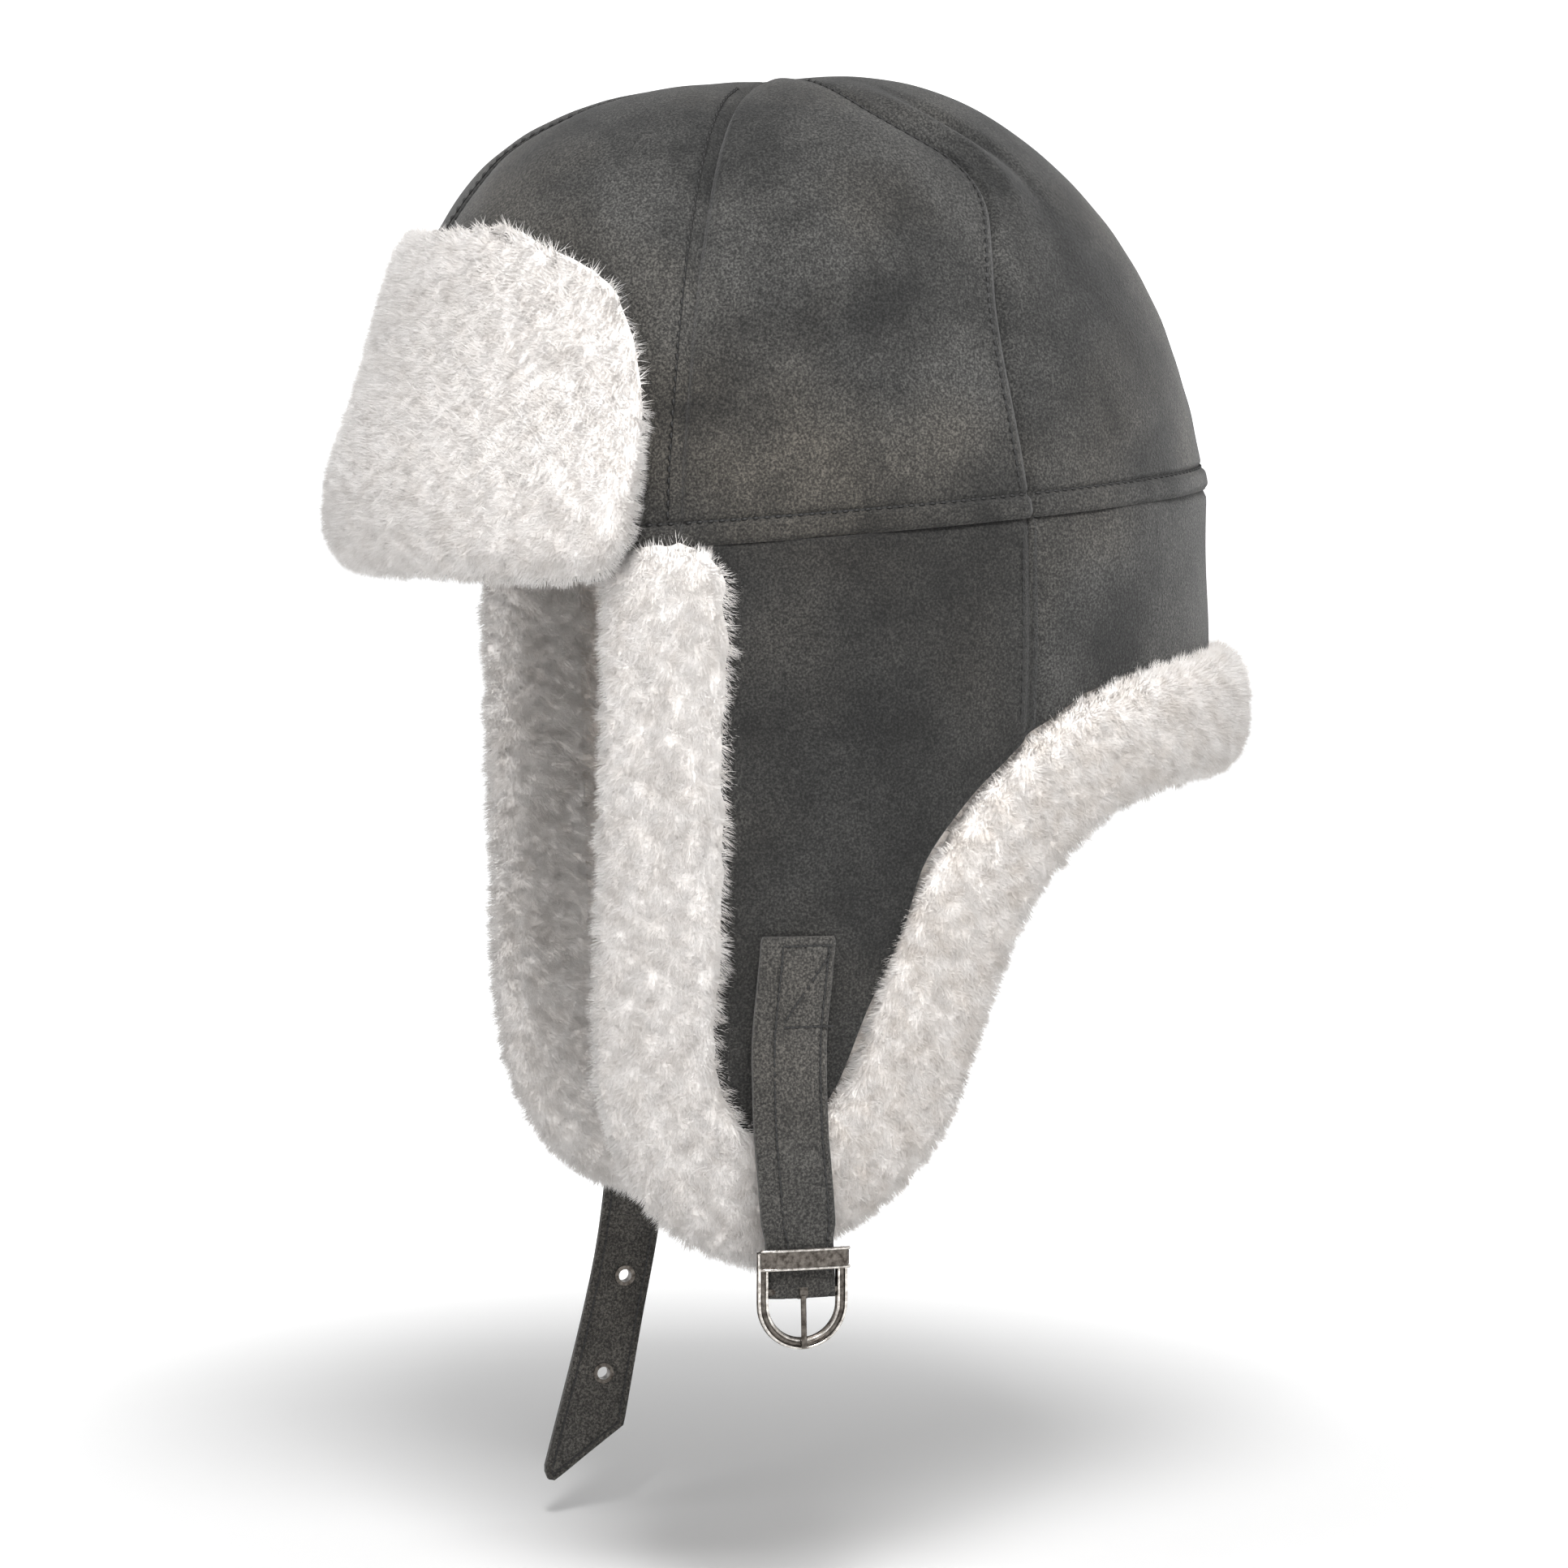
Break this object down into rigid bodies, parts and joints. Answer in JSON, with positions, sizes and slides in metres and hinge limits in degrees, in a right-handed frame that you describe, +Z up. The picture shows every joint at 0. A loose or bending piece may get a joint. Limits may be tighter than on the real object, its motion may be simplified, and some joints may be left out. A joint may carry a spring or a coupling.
{
  "type": "trapper hat",
  "caption": "Leather cap lined with wool, with fur-edged folding ear flaps, a folded fur front flap and a buckled chin strap.",
  "frame": {"origin": "centre of the head opening, level with the seam between crown and band at the temples", "axes": "+Z up towards the crown, -Y the way the face looks, +X the wearer's left"},
  "size_m": [0.2008, 0.2765, 0.4341],
  "materials": {
    "hat_leather": "charcoal napped sheepskin, matt",
    "strap_leather": "charcoal napped sheepskin, stitched double",
    "turned_fur": "short sheared wool pile, off-white",
    "lining_wool": "short sheared wool pile, off-white",
    "buckle_metal": "antique nickel, worn bright on the edges"
  },
  "bodies": {
    "hat": {"crown_back_left": "hat_leather", "crown_back_right": "hat_leather", "crown_front_left": "hat_leather", "crown_front_right": "hat_leather", "crown_side_left": "hat_leather", "crown_side_right": "hat_leather", "forehead_band": "hat_leather", "forehead_wool": "lining_wool", "left_ear_panel": "hat_leather", "left_temple_trim": "turned_fur", "left_temple_wool": "lining_wool", "lining_back_left": "lining_wool", "lining_back_right": "lining_wool", "lining_front_left": "lining_wool", "lining_front_right": "lining_wool", "lining_side_left": "lining_wool", "lining_side_right": "lining_wool", "nape_panel": "hat_leather", "nape_trim": "turned_fur", "nape_wool": "lining_wool", "right_ear_panel": "hat_leather", "right_temple_trim": "turned_fur", "right_temple_wool": "lining_wool"},
    "left_ear_flap": {"left_flap_front_trim": "turned_fur", "left_flap_leather": "hat_leather", "left_flap_rear_trim": "turned_fur", "left_flap_wool": "lining_wool", "left_strap_anchor": "strap_leather"},
    "right_ear_flap": {"right_flap_front_trim": "turned_fur", "right_flap_leather": "hat_leather", "right_flap_rear_trim": "turned_fur", "right_flap_wool": "lining_wool", "right_strap_anchor": "strap_leather"},
    "front_flap": {"front_flap_fur": "turned_fur", "front_flap_leather": "hat_leather"},
    "left_chin_strap": {"left_strap": "strap_leather"},
    "buckle": {"buckle_frame": "buckle_metal", "buckle_bar": "buckle_metal"},
    "prong": {"buckle_prong": "buckle_metal"},
    "right_chin_strap": {"right_strap": "strap_leather", "strap_eyelets": "buckle_metal"}
  },
  "joints": [
    {"name": "left_flap_fold", "type": "hinge", "parent": "hat", "child": "left_ear_flap", "pos_m": [0.104, 0, -0.056], "axis": [0, -1, 0], "range_deg": [-10, 175]},
    {"name": "right_flap_fold", "type": "hinge", "parent": "hat", "child": "right_ear_flap", "pos_m": [-0.104, 0, -0.056], "axis": [0, 1, 0], "range_deg": [-10, 175]},
    {"name": "front_flap_fold", "type": "hinge", "parent": "hat", "child": "front_flap", "pos_m": [0, -0.124, -0.015], "axis": [1, 0, 0], "range_deg": [0, 100]},
    {"name": "left_strap_swing", "type": "hinge", "parent": "left_ear_flap", "child": "left_chin_strap", "pos_m": [0.0909, -0.0282, -0.1395], "axis": [0, 1, 0], "range_deg": [-75, 0]},
    {"name": "buckle_turn", "type": "hinge", "parent": "left_chin_strap", "child": "buckle", "pos_m": [0.0909, -0.0282, -0.2115], "axis": [0, 1, 0], "range_deg": [0, 35]},
    {"name": "prong_turn", "type": "hinge", "parent": "buckle", "child": "prong", "pos_m": [0.0909, -0.0282, -0.2115], "axis": [0, -1, 0], "range_deg": [0, 100]},
    {"name": "right_strap_swing", "type": "hinge", "parent": "right_ear_flap", "child": "right_chin_strap", "pos_m": [-0.0904, -0.0282, -0.1395], "axis": [0, -1, 0], "range_deg": [-75, 0]}
  ]
}
